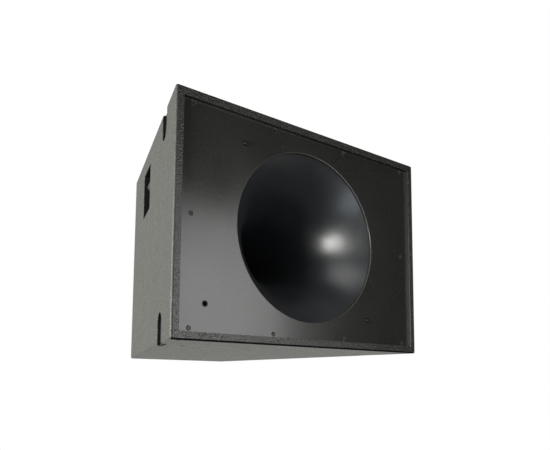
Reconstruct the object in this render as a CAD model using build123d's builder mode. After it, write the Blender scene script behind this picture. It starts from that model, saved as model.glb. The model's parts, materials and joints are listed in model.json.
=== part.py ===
"""Horn-loaded loudspeaker cabinet: a plywood box, trapezoid in plan, with one round horn.

Frame: +X to the right seen from the front, +Y towards the back, +Z up.  The origin is the
middle of the footprint, on the face that the cabinet rests on.  Millimetres.
"""
from build123d import *
import os
from math import atan2, cos, degrees, pi, radians, sin, tan

# ---- driving dimensions: the box -----------------------------------------------------
WIDTH = 720.0            # across the front
REAR_WIDTH = 300.0       # across the back
HEIGHT = 525.0
DEPTH = 640.0
PLY = 18.0               # panel thickness
LONG_EDGE_RADIUS = 5.0   # edges that run from front to back
FACE_EDGE_RADIUS = 4.0   # edges round the front and the back

FRONT = -DEPTH / 2
BACK = DEPTH / 2
INNER_BOTTOM = PLY
INNER_TOP = HEIGHT - PLY
INNER_HEIGHT = HEIGHT - 2 * PLY
SPLAY = atan2((WIDTH - REAR_WIDTH) / 2, DEPTH)   # each side's angle to the centre line

# ---- driving dimensions: the front ---------------------------------------------------
PLATE_RECESS = 10.0      # front plate behind the front edges
PLATE_THICKNESS = 6.0
PLATE_GAP = 0.8
RIM_RADIUS = 2.0         # rounding of the plate's edge round the horn
SCREW_COLUMNS = (-315.0, -106.0, 106.0, 315.0)
SCREW_ROW_INSET = 26.0   # top and bottom rows, from the outer face
STUD_OFFSET = (186.0, 184.0)     # grille studs, either side of the horn axis
SOCKET_X = -279.0
STUD_ROW = HEIGHT / 2 - STUD_OFFSET[1]
STUD_SHANK = 4.0
STUD_HEAD = 6.2
STUD_PROUD = 5.0
STUD_DOME = 0.7          # rounding of the head, as a share of its height
STUD_LENGTH = 20.0
CATCH_RADIUS = 6.2
CATCH_BORE = 5.2
CATCH_LIP = 7.0
CATCH_LIP_HEIGHT = 0.8
CATCH_LENGTH = 18.0
CATCH_BORE_DEPTH = 16.0
PLATE_SCREW = (2.5, 18.0, 4.6, 2.3)   # shank radius, length, head radius, head height
PLATE_SCREW_SEAT = 5.4   # radius of the countersink, wider than the head

# ---- driving dimensions: the horn ----------------------------------------------------
HORN_Z = HEIGHT / 2
MOUTH_RADIUS = 202.5     # hole in the front plate
HORN_GASKET = 1.5
HORN_MOUTH_RADIUS = 204.0
HORN_FLANGE_RADIUS = 230.0
HORN_FLANGE = 6.0
HORN_WALL = 5.0
THROAT_RADIUS = 45.0
THROAT_FLANGE_RADIUS = 112.0
THROAT_FLANGE = 12.0
THROAT_DEPTH = 462.0
MOUTH_ANGLE = radians(46)        # wall to the axis at the mouth
THROAT_ANGLE = radians(5)
MOUTH_PULL = 170.0               # how far the curve follows each end's direction
THROAT_PULL = 200.0
HORN_SCREW_CIRCLE = 218.0
HORN_SCREWS = 8
SCREW_TURN = 22.5                # degrees from the horizontal to the first screw
HORN_SCREW = (2.4, 12.0, 4.5, 3.0)
FLANGE_HOLE_GAP = 0.6            # room round screws in flanges and gaskets
BAFFLE_GAP = 2.0                 # room round the horn's flange

PLATE_BACK = PLATE_RECESS + PLATE_THICKNESS
HORN_DEPTH = PLATE_BACK + HORN_GASKET
HORN_SCREW_BITE = HORN_SCREW[1] - HORN_FLANGE - HORN_GASKET + 0.5
DRIVER_FACE = THROAT_DEPTH + PLY          # back of the bulkhead, where the driver bolts on

# ---- driving dimensions: the driver (depths behind its mounting face) ----------------
DRIVER_BOLT_CIRCLE = 103.5
DRIVER_BOLTS = 8
DRIVER_BOLT = (2.5, 20.0, 4.5, 3.0)
THROAT_BOLT_CIRCLE = 103.0
THROAT_BOLT = (2.5, 26.0, 4.5, 3.0)
DRIVER_OPENING = 92.0
BASKET_RADIUS = 110.0
BASKET_FACE = 2.0
BASKET_FLANGE = 5.0
CONE_EDGE_RADIUS = 74.5
COIL_RADIUS = 25.0
SKIN = 0.8                        # paper, cloth and rubber skins
TOP_PLATE = (48.0, 56.0)
MAGNET = (56.0, 76.0)
BACK_PLATE = (76.0, 84.0)
TERMINAL_SIZE = (20.0, 9.0)
TERMINAL_DEPTH = 10.0
TERMINAL_DROP = 104.0             # below the driver's axis
COIL_DEPTHS = (26.0, 60.0)        # former, front and back
WINDING_DEPTHS = (44.0, 60.0)
WINDING_THICKNESS = 0.8
FORMER_THICKNESS = 0.5
POLE_RADIUS = 24.3
POLE_FRONT = 47.0
VENT_RADIUS = 8.0
VENT_CHAMFER = 2.0
TOP_PLATE_RADII = (70.0, 27.0)
MAGNET_RADII = (78.0, 40.0)
BACK_PLATE_RADIUS = 72.0
GASKET_INNER_RADIUS = 90.5
WINDOW_SIZE = (50.0, 62.0, 20.0)  # openings between the basket's arms
WINDOW_CIRCLE = 90.0
WINDOWS = 6
SPIDER_DEPTH = 32.6
SPIDER_STEP = 6.2
SPIDER_WAVE = 1.6

# ---- driving dimensions: the sides ---------------------------------------------------
HANDLE_U = 420.0         # along the side from the front edge
HANDLE_V = 419.0         # above the floor
HANDLE_SIZE = 118.0
HANDLE_CORNER = 5.0
HANDLE_RECESS = 60.0
CUP_WALL = 3.0
CUP_FLANGE = 142.0
BAR_RADIUS = 6.0
GRIP_RADIUS = 10.0
GRIP_HALF_LENGTH = 29.0
BAR_BEND = 14.0
CUP_SCREW_SPREAD = 132.0
CUP_SCREW = (2.0, 12.0, 4.0, 2.4)
BAR_DEPTH = 15.0
BAR_RISE = 22.0
BAR_HALF_SPAN = 45.0
POCKET_U = 141.0
POCKET_HALF_WIDTH = 29.0
POCKET_REACH = 70.0
POCKET_DEPTH = 9.0
RIG_PLATE = 3.0
RIG_PLATE_GAP = 0.5
RIG_SCREW_OFFSETS = (-21.0, 18.0)   # towards the middle and towards the panel's edge
RIG_SCREW_RADIUS = 2.0
RIG_SCREW_HEAD = 4.0
RIG_SCREW_LENGTH = 7.0
POCKET_EDGES = ((HEIGHT, -1), (0.0, 1))   # each pocket's open edge, and which way it runs

# ---- driving dimensions: threaded rigging points -------------------------------------
POINT_X = 261.0
POINT_FRONT_DEPTH = 132.0
POINT_REAR_DEPTH = 604.0
TAP_RADIUS = 4.25        # M10 thread
BUSH_RADIUS = 7.0
BUSH_FLANGE_RADIUS = 14.0
BUSH_FLANGE = 2.5
BUSH_SUNK = 0.3          # end of the bush below the panel's face

# ---- driving dimensions: connectors and electronics ----------------------------------
DISH_Z = 110.0
DISH_SIZE = (160.0, 90.0)
DISH_FLANGE = (190.0, 120.0)
DISH_FLANGE_CORNER = 8.0
DISH_CORNER = 5.5
DISH_INNER_CORNER = 3.0
DISH_ROOM = 0.3          # between the dish's flange and its rebate, and half of it below
DISH_METAL = 2.5
DISH_DEPTH = 16.0
DISH_SCREW_GRID = (175.0, 105.0)
DISH_SCREW = (1.75, 12.0, 3.4, 1.65)
SOCKET_SCREW = (1.5, 5.0, 2.8, 1.8)
SOCKET_SCREW_OFFSET = 12.0
SOCKET_FLANGE_METAL = 2.5
SOCKET_COLLAR = 2.0
SOCKET_COLLAR_WALL = 1.5
SOCKET_CORNER = 3.0
SOCKET_SPREAD = 38.0     # each socket, from the middle
SOCKET_FLANGE = 31.0
SOCKET_BODY_RADIUS = 12.0
SOCKET_BORE_RADIUS = 10.5
SOCKET_LENGTH = 30.0
SOCKET_BORE = 23.0
BOARD_SIZE = (170.0, 96.0)
BOARD_DEPTH = 544.0
BOARD_THICKNESS = 2.0
BOARD_CORNER = 4.0
STANDOFF = 8.0
STANDOFF_RADIUS = 4.0
BOARD_HOLE_GRID = (158.0, 84.0)
BOARD_SCREW = (1.5, 8.0, 2.8, 1.8)
BOARD_TOP = PLY + STANDOFF + BOARD_THICKNESS
INPUT_BLOCK_DEPTH = 560.0
DRIVER_BLOCK_DEPTH = 545.0
LEAD_RADIUS = 1.6
BLOCK_SIZE = (16.0, 12.0, 12.0)
BLOCK_CORNER = 1.0
INDUCTOR_PLACE = (-50.0, -19.0)   # on the board
INDUCTOR_HEIGHT = 22.0
BOBBIN_RADIUS = 22.0
BOBBIN_CORE = 9.0
BOBBIN_BORE = 7.0
BOBBIN_CHEEK = 2.0
WINDING_RADIUS = 20.0
CAPACITOR_RADIUS = 9.0
CAPACITOR_ENDS = (24.0, 60.0)
CAPACITOR_ROWS = (-32.0, -9.0)

# ---- driving dimensions: cleats and damping ------------------------------------------
CLEAT = 18.0
BAFFLE_CLEAT_LENGTH = 440.0
REAR_CLEAT_LENGTH = 100.0
REAR_CLEAT_X = 75.0
PAD_U = (525.0, 630.0)   # along the side from the front edge
PAD_HEIGHT = 420.0
PAD_CORNER = 10.0
PAD_THICKNESS = 20.0

CLEARANCE = 0.1          # radial room round screws
CUT = 1.0                # how far a cutting tool runs past a face

os.makedirs("parts", exist_ok=True)


# ---- shared planes and helpers -------------------------------------------------------
def front_plane(depth, height=0.0):
    """Plane facing forward, at a depth behind the front edges."""
    return Plane(origin=(0, FRONT + depth, height), x_dir=(1, 0, 0), z_dir=(0, -1, 0))


def back_plane(inward=0.0, height=0.0):
    """Plane facing backward, at a distance inside the rear face."""
    return Plane(origin=(0, BACK - inward, height), x_dir=(-1, 0, 0), z_dir=(0, 1, 0))


def profile_plane(depth=0.0):
    """Half-plane through the horn axis: x is depth, y is radius."""
    return Plane(origin=(0, FRONT + depth, HORN_Z), x_dir=(0, 1, 0), z_dir=(1, 0, 0))


def side_plane(inward=0.0):
    """Plane on the right side's outer face: x along the side, y up, z outward."""
    outward = (cos(SPLAY), sin(SPLAY), 0)
    origin = (WIDTH / 2, FRONT, 0)
    along = (-sin(SPLAY), cos(SPLAY), 0)
    return Plane(origin=origin, x_dir=along, z_dir=outward).offset(-inward)


def handle_plane(inward, facing):
    """Plane at the handle's middle, facing outward (1) or into the cabinet (-1)."""
    side = side_plane(inward)
    middle = side.from_local_coords((HANDLE_U, HANDLE_V, 0))
    return Plane(origin=middle, x_dir=side.x_dir, z_dir=side.z_dir * facing)


HORN_AXIS = Axis((0, FRONT, HORN_Z), (0, 1, 0))


def half_width(depth, inset=0.0):
    """Half the width at a depth, to a line set inside the sloping side."""
    return WIDTH / 2 - depth * tan(SPLAY) - inset / cos(SPLAY)


def plan_points(near, far, inset=0.0):
    """Corners of the cabinet's plan between two depths."""
    near_half = half_width(near, inset)
    far_half = half_width(far, inset)
    return [
        (-near_half, FRONT + near),
        (near_half, FRONT + near),
        (far_half, FRONT + far),
        (-far_half, FRONT + far),
    ]


def add_ring(plane, outer, inner, thickness):
    """Flat ring in the current part, from a plane and away from its normal."""
    with BuildSketch(plane) as ring:
        Circle(outer)
        Circle(inner, mode=Mode.SUBTRACT)
    extrude(ring.sketch, amount=-thickness)


def save(piece, name):
    """Label a finished piece and write its STEP file."""
    piece.part.label = name
    export_step(piece.part, f"parts/{name}.step")


def save_pair(piece, name):
    """Write a right-hand piece and its mirror image on the left."""
    save(piece, name.format("right"))
    with BuildPart() as other:
        mirror(piece.part, about=Plane.YZ)
    save(other, name.format("left"))


def screw(shank, length, head, head_height, countersunk):
    """Cross-recess screw on the Z axis, its head's top at the origin."""
    foot = -head_height - length
    under_head = shank if countersunk else head
    with BuildPart() as fastener:
        with BuildSketch(Plane.XZ):
            Polygon((0, 0), (head, 0), (under_head, -head_height), (shank, -head_height),
                    (shank, foot + shank), (0, foot), align=None)
        revolve(axis=Axis.Z)
        with BuildSketch(Plane.XY):
            Rectangle(head * 1.1, head * 0.24)
            Rectangle(head * 0.24, head * 1.1)
        extrude(amount=-head_height * 0.5, mode=Mode.SUBTRACT)
    return fastener.part


def group(part, places):
    """Copies of one part at several planes, as one node."""
    with BuildPart() as copies:
        with Locations(*places):
            add(part)
    return copies


# ---- enclosure -----------------------------------------------------------------------
with BuildPart() as envelope:
    with BuildSketch(Plane.XY):
        Polygon(*plan_points(0, DEPTH), align=None)
    extrude(amount=HEIGHT)
    long_edges = envelope.edges().filter_by(lambda edge: abs(edge.tangent_at(0.5).Y) > 0.5)
    fillet(long_edges, LONG_EDGE_RADIUS)
    front_outline = envelope.faces().sort_by(Axis.Y)[0].edges()
    back_outline = envelope.faces().sort_by(Axis.Y)[-1].edges()
    fillet(front_outline + back_outline, FACE_EDGE_RADIUS)


def point_places(z, facing):
    """Planes at the three threaded rigging points of one panel."""
    spots = [
        (-POINT_X, FRONT + POINT_FRONT_DEPTH, z),
        (POINT_X, FRONT + POINT_FRONT_DEPTH, z),
        (0, FRONT + POINT_REAR_DEPTH, z),
    ]
    return [Plane(origin=spot, z_dir=(0, 0, facing)) for spot in spots]


def pocket_outline(edge, inward, gap=0.0, past_edge=0.0):
    """Round-ended outline of a rigging pocket, open at the panel's edge."""
    centre = edge + inward * (POCKET_REACH - POCKET_HALF_WIDTH)
    end = edge - inward * past_edge
    with BuildSketch(side_plane(POCKET_DEPTH)) as outline:
        with Locations((POCKET_U, centre)):
            Circle(POCKET_HALF_WIDTH - gap)
        with Locations((POCKET_U, (centre + end) / 2)):
            Rectangle(2 * (POCKET_HALF_WIDTH - gap), abs(end - centre))
    return outline.sketch


def on_pocket_floor(height, inward=POCKET_DEPTH):
    """Plane on the pocket's floor, at a height above the cabinet's foot."""
    floor = side_plane(inward)
    return floor.shift_origin(floor.from_local_coords((POCKET_U, height, 0)))


def rig_screw_heights():
    """Heights of the rigging plates' screws."""
    return [edge + inward * (POCKET_REACH - POCKET_HALF_WIDTH - offset)
            for edge, inward in POCKET_EDGES
            for offset in RIG_SCREW_OFFSETS]


def rig_hole_heights():
    """Heights of the rigging plates' threaded holes."""
    return [edge + inward * (POCKET_REACH - POCKET_HALF_WIDTH) for edge, inward in POCKET_EDGES]


def cut_pockets():
    """Cut both rigging pockets of the right side, and their holes, into the current part."""
    for edge, inward in POCKET_EDGES:
        outline = pocket_outline(edge, inward, past_edge=CUT)
        extrude(outline, amount=POCKET_DEPTH + CUT, mode=Mode.SUBTRACT)
    with Locations(*[on_pocket_floor(height) for height in rig_screw_heights()]):
        Hole(RIG_SCREW_RADIUS + CLEARANCE, depth=RIG_SCREW_LENGTH + CUT)
    with Locations(*[on_pocket_floor(height) for height in rig_hole_heights()]):
        Hole(TAP_RADIUS + CUT, depth=RIG_SCREW_LENGTH)


def horizontal_panel(z, outer_z, facing):
    """Top or bottom panel with its pockets and its holes for threaded bushes."""
    with BuildPart() as half:
        with BuildSketch(Plane.XY.offset(z)):
            Polygon(*plan_points(0, DEPTH), align=None)
        extrude(amount=PLY)
        add(envelope.part, mode=Mode.INTERSECT)
        cut_pockets()
        with Locations(*point_places(outer_z, facing)):
            Hole(BUSH_RADIUS + CLEARANCE, depth=PLY)
        split(bisect_by=Plane.YZ, keep=Keep.TOP)
    with BuildPart() as panel:
        add(half.part)
        mirror(half.part, about=Plane.YZ)
    return panel


top_panel = horizontal_panel(INNER_TOP, HEIGHT, 1)
save(top_panel, "top_panel")
bottom_panel = horizontal_panel(0, 0, -1)
save(bottom_panel, "bottom_panel")

with BuildPart() as side_panel:
    with BuildSketch(Plane.XY.offset(INNER_BOTTOM)):
        Polygon((half_width(0), FRONT), (half_width(DEPTH), BACK),
                (half_width(DEPTH, PLY), BACK), (half_width(0, PLY), FRONT), align=None)
    extrude(amount=INNER_HEIGHT)
    add(envelope.part, mode=Mode.INTERSECT)
    cut_pockets()
    with BuildSketch(side_plane()):
        with Locations((HANDLE_U, HANDLE_V)):
            RectangleRounded(HANDLE_SIZE, HANDLE_SIZE, HANDLE_CORNER)
    extrude(amount=-PLY - CUT, mode=Mode.SUBTRACT)
    with Locations(handle_plane(PLY, -1)):
        with GridLocations(CUP_SCREW_SPREAD, CUP_SCREW_SPREAD, 2, 2):
            Hole(CUP_SCREW[0] + CLEARANCE, depth=CUP_SCREW[1] - CUP_WALL + CUT)
save_pair(side_panel, "{}_side_panel")

with BuildPart() as rear_panel:
    with BuildSketch(Plane.XY.offset(INNER_BOTTOM)):
        Polygon(*plan_points(DEPTH - PLY, DEPTH, PLY), align=None)
    extrude(amount=INNER_HEIGHT)
    with BuildSketch(back_plane(0, DISH_Z)):
        RectangleRounded(*DISH_FLANGE, DISH_FLANGE_CORNER)
    extrude(amount=-DISH_METAL, mode=Mode.SUBTRACT)
    with BuildSketch(back_plane(0, DISH_Z)):
        RectangleRounded(DISH_SIZE[0] + DISH_ROOM, DISH_SIZE[1] + DISH_ROOM, DISH_CORNER)
    extrude(amount=-PLY, mode=Mode.SUBTRACT)
    with Locations(back_plane(DISH_METAL, DISH_Z)):
        with GridLocations(*DISH_SCREW_GRID, 2, 2):
            Hole(DISH_SCREW[0] + CLEARANCE, depth=DISH_SCREW[1])
save(rear_panel, "rear_panel")

# ---- front: sub-baffle, smooth front plate and its fixings ---------------------------
plate_screw_spots = [
    (x, z)
    for z in (SCREW_ROW_INSET, HEIGHT - SCREW_ROW_INSET)
    for x in SCREW_COLUMNS
] + [(SCREW_COLUMNS[0], HORN_Z), (SCREW_COLUMNS[-1], HORN_Z)]
plate_screw_places = [front_plane(PLATE_RECESS).shift_origin((x, FRONT + PLATE_RECESS, z))
                      for x, z in plate_screw_spots]
stud_spots = ((-STUD_OFFSET[0], HORN_Z + STUD_OFFSET[1]), (STUD_OFFSET[0], STUD_ROW))

with BuildPart() as sub_baffle:
    with BuildSketch(Plane.XY.offset(INNER_BOTTOM)):
        Polygon(*plan_points(PLATE_BACK, PLATE_BACK + PLY, PLY), align=None)
    extrude(amount=INNER_HEIGHT)
    with Locations(front_plane(PLATE_BACK, HORN_Z)):
        Hole(HORN_FLANGE_RADIUS + BAFFLE_GAP, depth=PLY)
    with Locations(*[place.offset(-PLATE_THICKNESS) for place in plate_screw_places]):
        Hole(PLATE_SCREW[0] + CLEARANCE, depth=PLATE_SCREW[1] + PLATE_SCREW[3] - PLATE_THICKNESS + CUT)
    with Locations(front_plane(PLATE_BACK)):
        with Locations(*stud_spots):
            Hole(STUD_SHANK + CLEARANCE, depth=PLY)
        with Locations((SOCKET_X, STUD_ROW)):
            Hole(CATCH_RADIUS + CLEARANCE, depth=CATCH_LENGTH - PLATE_THICKNESS + CUT)
save(sub_baffle, "sub_baffle")

with BuildPart() as front_plate:
    with BuildSketch(Plane.XY.offset(INNER_BOTTOM + PLATE_GAP)):
        Polygon(*plan_points(PLATE_RECESS, PLATE_BACK, PLY + PLATE_GAP), align=None)
    extrude(amount=INNER_HEIGHT - 2 * PLATE_GAP)
    with Locations(front_plane(PLATE_RECESS, HORN_Z)):
        Hole(MOUTH_RADIUS, depth=PLATE_THICKNESS)
    rim = front_plate.edges().filter_by(GeomType.CIRCLE).sort_by(Axis.Y)[0]
    fillet(rim, RIM_RADIUS)
    with Locations(*plate_screw_places):
        CounterSinkHole(PLATE_SCREW[0] + CLEARANCE, PLATE_SCREW_SEAT,
                        depth=PLATE_THICKNESS, counter_sink_angle=90)
    with Locations(front_plane(PLATE_RECESS)):
        with Locations(*stud_spots):
            Hole(STUD_SHANK + CLEARANCE, depth=PLATE_THICKNESS)
        with Locations((SOCKET_X, STUD_ROW)):
            Hole(CATCH_RADIUS + CLEARANCE, depth=PLATE_THICKNESS)
    with Locations(back_plane(DEPTH - PLATE_BACK, HORN_Z)):
        with PolarLocations(HORN_SCREW_CIRCLE, HORN_SCREWS, SCREW_TURN):
            Hole(HORN_SCREW[0] + CLEARANCE, depth=HORN_SCREW_BITE)
save(front_plate, "front_plate")

plate_screw = screw(*PLATE_SCREW, countersunk=True)
save(group(plate_screw, plate_screw_places), "front_plate_screws")

with BuildPart() as grille_studs:
    with Locations(front_plane(PLATE_RECESS)):
        with Locations(*stud_spots):
            Cylinder(STUD_SHANK, STUD_LENGTH, align=(Align.CENTER, Align.CENTER, Align.MAX))
            Cylinder(STUD_HEAD, STUD_PROUD, align=(Align.CENTER, Align.CENTER, Align.MIN))
    domes = grille_studs.faces().filter_by(Axis.Y).sort_by(Axis.Y)[:2].edges()
    fillet(domes, STUD_PROUD * STUD_DOME)
save(grille_studs, "grille_studs")

with BuildPart() as grille_catch:
    catch_plane = front_plane(PLATE_RECESS).shift_origin((SOCKET_X, FRONT + PLATE_RECESS, STUD_ROW))
    with BuildSketch(catch_plane):
        Circle(CATCH_RADIUS)
    extrude(amount=-CATCH_LENGTH)
    with BuildSketch(catch_plane):
        Circle(CATCH_LIP)
    extrude(amount=CATCH_LIP_HEIGHT)
    with Locations(catch_plane.offset(CATCH_LIP_HEIGHT)):
        Hole(CATCH_BORE, depth=CATCH_BORE_DEPTH)
save(grille_catch, "grille_catch")

# ---- horn ----------------------------------------------------------------------------
with BuildPart() as horn_gasket:
    add_ring(front_plane(PLATE_BACK, HORN_Z), HORN_FLANGE_RADIUS, HORN_MOUTH_RADIUS + 2,
             HORN_GASKET)
    with Locations(front_plane(PLATE_BACK, HORN_Z)):
        with PolarLocations(HORN_SCREW_CIRCLE, HORN_SCREWS, SCREW_TURN):
            Hole(HORN_SCREW[0] + FLANGE_HOLE_GAP, depth=HORN_GASKET)
save(horn_gasket, "horn_gasket")

throat_front = THROAT_DEPTH - THROAT_FLANGE
flange_back = HORN_DEPTH + HORN_FLANGE
mouth_direction = (cos(MOUTH_ANGLE), -sin(MOUTH_ANGLE))
throat_direction = (cos(THROAT_ANGLE), -sin(THROAT_ANGLE))


def horn_curve(mouth, throat):
    """Control points of the flare from a mouth point to a throat point."""
    return [
        mouth,
        (mouth[0] + MOUTH_PULL * mouth_direction[0], mouth[1] + MOUTH_PULL * mouth_direction[1]),
        (throat[0] - THROAT_PULL * throat_direction[0], throat[1] - THROAT_PULL * throat_direction[1]),
        throat,
    ]


with BuildPart() as horn_flare:
    with BuildSketch(profile_plane()):
        with BuildLine():
            inner = Bezier(*horn_curve((HORN_DEPTH, HORN_MOUTH_RADIUS), (THROAT_DEPTH, THROAT_RADIUS)))
            outer_mouth = (flange_back, HORN_MOUTH_RADIUS + 1)
            outer_throat = (throat_front, THROAT_RADIUS + HORN_WALL + 1)
            outer = Bezier(*horn_curve(outer_mouth, outer_throat))
            Polyline(inner @ 1, (THROAT_DEPTH, THROAT_FLANGE_RADIUS),
                     (throat_front, THROAT_FLANGE_RADIUS), outer @ 1)
            Polyline(outer @ 0, (flange_back, HORN_FLANGE_RADIUS),
                     (HORN_DEPTH, HORN_FLANGE_RADIUS), inner @ 0)
        make_face()
    revolve(axis=HORN_AXIS)
    with Locations(front_plane(HORN_DEPTH, HORN_Z)):
        with PolarLocations(HORN_SCREW_CIRCLE, HORN_SCREWS, SCREW_TURN):
            Hole(HORN_SCREW[0] + FLANGE_HOLE_GAP, depth=HORN_FLANGE)
    with Locations(front_plane(throat_front, HORN_Z)):
        with PolarLocations(THROAT_BOLT_CIRCLE, DRIVER_BOLTS):
            Hole(THROAT_BOLT[0] + CLEARANCE, depth=THROAT_FLANGE)
save(horn_flare, "horn_flare")

horn_screw = screw(*HORN_SCREW, countersunk=False)
with BuildPart() as horn_flange_screws:
    back_of_flange = front_plane(flange_back, HORN_Z).rotated((180, 0, 0)).offset(HORN_SCREW[3])
    with Locations(back_of_flange):
        with PolarLocations(HORN_SCREW_CIRCLE, HORN_SCREWS, SCREW_TURN):
            add(horn_screw)
save(horn_flange_screws, "horn_flange_screws")

with BuildPart() as bulkhead:
    with BuildSketch(Plane.XY.offset(INNER_BOTTOM)):
        Polygon(*plan_points(THROAT_DEPTH, DRIVER_FACE, PLY), align=None)
    extrude(amount=INNER_HEIGHT)
    with Locations(front_plane(THROAT_DEPTH, HORN_Z)):
        Hole(DRIVER_OPENING, depth=PLY)
        with PolarLocations(THROAT_BOLT_CIRCLE, DRIVER_BOLTS):
            Hole(THROAT_BOLT[0] + CLEARANCE, depth=THROAT_BOLT[1] - THROAT_FLANGE + 1)
    with Locations(front_plane(DRIVER_FACE, HORN_Z).rotated((180, 0, 0))):
        with PolarLocations(DRIVER_BOLT_CIRCLE, DRIVER_BOLTS, SCREW_TURN):
            Hole(DRIVER_BOLT[0] + CLEARANCE, depth=DRIVER_BOLT[1] - BASKET_FLANGE - BASKET_FACE + 1)
save(bulkhead, "bulkhead")

throat_bolt = screw(*THROAT_BOLT, countersunk=False)
with BuildPart() as throat_flange_screws:
    with Locations(front_plane(throat_front - THROAT_BOLT[3], HORN_Z)):
        with PolarLocations(THROAT_BOLT_CIRCLE, DRIVER_BOLTS):
            add(throat_bolt)
save(throat_flange_screws, "throat_flange_screws")

# ---- driver: fixed pieces ------------------------------------------------------------
with BuildPart() as driver_gasket:
    add_ring(front_plane(DRIVER_FACE, HORN_Z), BASKET_RADIUS, GASKET_INNER_RADIUS, BASKET_FACE)
    with Locations(front_plane(DRIVER_FACE, HORN_Z)):
        with PolarLocations(DRIVER_BOLT_CIRCLE, DRIVER_BOLTS, SCREW_TURN):
            Hole(DRIVER_BOLT[0] + FLANGE_HOLE_GAP, depth=BASKET_FACE)
save(driver_gasket, "driver_gasket")

with BuildPart() as driver_basket:
    with BuildSketch(profile_plane(DRIVER_FACE)):
        Polygon((4, 84), (4, 90.5), (2, 90.5), (2, BASKET_RADIUS), (7, BASKET_RADIUS), (7, 98),
                (42, 79), (48, 79), (48, 45), (45, 45), (45, 75), (36, 75), (36, 63),
                (33.5, 63), (33.5, 80.1), (7, 94.5), (7, 84), align=None)
    revolve(axis=HORN_AXIS)
    with Locations(front_plane(DRIVER_FACE + WINDOW_SIZE[2], HORN_Z)):
        with PolarLocations(WINDOW_CIRCLE, WINDOWS, 180 / WINDOWS):
            Box(*WINDOW_SIZE, mode=Mode.SUBTRACT)
    with Locations(front_plane(DRIVER_FACE + BASKET_FACE, HORN_Z)):
        with PolarLocations(DRIVER_BOLT_CIRCLE, DRIVER_BOLTS, SCREW_TURN):
            Hole(DRIVER_BOLT[0] + 0.3, depth=BASKET_FLANGE)
save(driver_basket, "driver_basket")

driver_bolt = screw(*DRIVER_BOLT, countersunk=False)
with BuildPart() as driver_bolts:
    bolt_heads = DRIVER_FACE + BASKET_FACE + BASKET_FLANGE + DRIVER_BOLT[3]
    with Locations(front_plane(bolt_heads, HORN_Z).rotated((180, 0, 0))):
        with PolarLocations(DRIVER_BOLT_CIRCLE, DRIVER_BOLTS, SCREW_TURN):
            add(driver_bolt)
save(driver_bolts, "driver_bolts")


def magnet_ring(front_and_back, outer, inner):
    """One flat ring of the magnet system."""
    front, back = front_and_back
    with BuildPart() as ring:
        add_ring(front_plane(DRIVER_FACE + front, HORN_Z), outer, inner, back - front)
    return ring


save(magnet_ring(TOP_PLATE, *TOP_PLATE_RADII), "magnet_top_plate")
save(magnet_ring(MAGNET, *MAGNET_RADII), "magnet_ring")

with BuildPart() as magnet_back_plate:
    add_ring(front_plane(DRIVER_FACE + BACK_PLATE[0], HORN_Z), BACK_PLATE_RADIUS, VENT_RADIUS,
             BACK_PLATE[1] - BACK_PLATE[0])
    add_ring(front_plane(DRIVER_FACE + POLE_FRONT, HORN_Z), POLE_RADIUS, VENT_RADIUS,
             BACK_PLATE[0] - POLE_FRONT)
    vent_edges = magnet_back_plate.faces().sort_by(Axis.Y)[-1].edges()
    chamfer(vent_edges, VENT_CHAMFER)
save(magnet_back_plate, "magnet_back_plate")

# ---- driver: moving pieces -----------------------------------------------------------
with BuildPart() as driver_cone:
    with BuildSketch(profile_plane(DRIVER_FACE)):
        Polygon((3.8, 70), (3.8, CONE_EDGE_RADIUS), (4.6, CONE_EDGE_RADIUS), (4.6, 70.4),
                (28.8, 26.6), (30, 26.6), (30, 25.7), (28, 25.7), align=None)
    revolve(axis=HORN_AXIS)
save(driver_cone, "driver_cone")

with BuildPart() as dust_cap:
    with BuildSketch(profile_plane(DRIVER_FACE)):
        with BuildLine():
            outside = ThreePointArc((17, 0), (19, 16), (25, 29))
            inside = ThreePointArc((17 + SKIN, 0), (19 + SKIN, 16), (25, 29 - SKIN))
            Line(outside @ 1, inside @ 1)
            Line(outside @ 0, inside @ 0)
        make_face()
    revolve(axis=HORN_AXIS)
save(dust_cap, "dust_cap")

with BuildPart() as voice_coil:
    former_radius = COIL_RADIUS + FORMER_THICKNESS
    add_ring(front_plane(DRIVER_FACE + COIL_DEPTHS[0], HORN_Z), former_radius, COIL_RADIUS,
             COIL_DEPTHS[1] - COIL_DEPTHS[0])
    add_ring(front_plane(DRIVER_FACE + WINDING_DEPTHS[0], HORN_Z), former_radius + WINDING_THICKNESS,
             former_radius, WINDING_DEPTHS[1] - WINDING_DEPTHS[0])
save(voice_coil, "voice_coil")

with BuildPart() as cone_surround:
    with BuildSketch(profile_plane(DRIVER_FACE)):
        with BuildLine():
            roll = ThreePointArc((3, 74.5), (-2, 79.5), (3, 84.5))
            under_roll = ThreePointArc((3, 74.5 + SKIN), (-2 + SKIN, 79.5), (3, 84.5 - SKIN))
            Polyline(roll @ 1, (3, 90), (3 + SKIN, 90), (3 + SKIN, 84.5 - SKIN), under_roll @ 1)
            Polyline(roll @ 0, (3, 70), (3 + SKIN, 70), (3 + SKIN, 74.5 + SKIN), under_roll @ 0)
        make_face()
    revolve(axis=HORN_AXIS)
save(cone_surround, "cone_surround")

spider_waves = [(26 + SPIDER_STEP * step, SPIDER_WAVE if step % 2 else -SPIDER_WAVE) for step in range(7)]
with BuildPart() as spider:
    with BuildSketch(profile_plane(DRIVER_FACE + SPIDER_DEPTH)):
        front_points = [(0, 25.7)] + [(lift, radius) for radius, lift in spider_waves] + [(0, 66), (0, 76)]
        back_points = [(depth + SKIN, radius) for depth, radius in reversed(front_points)]
        Polygon(*front_points, *back_points, align=None)
    revolve(axis=HORN_AXIS)
save(spider, "spider")

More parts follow.
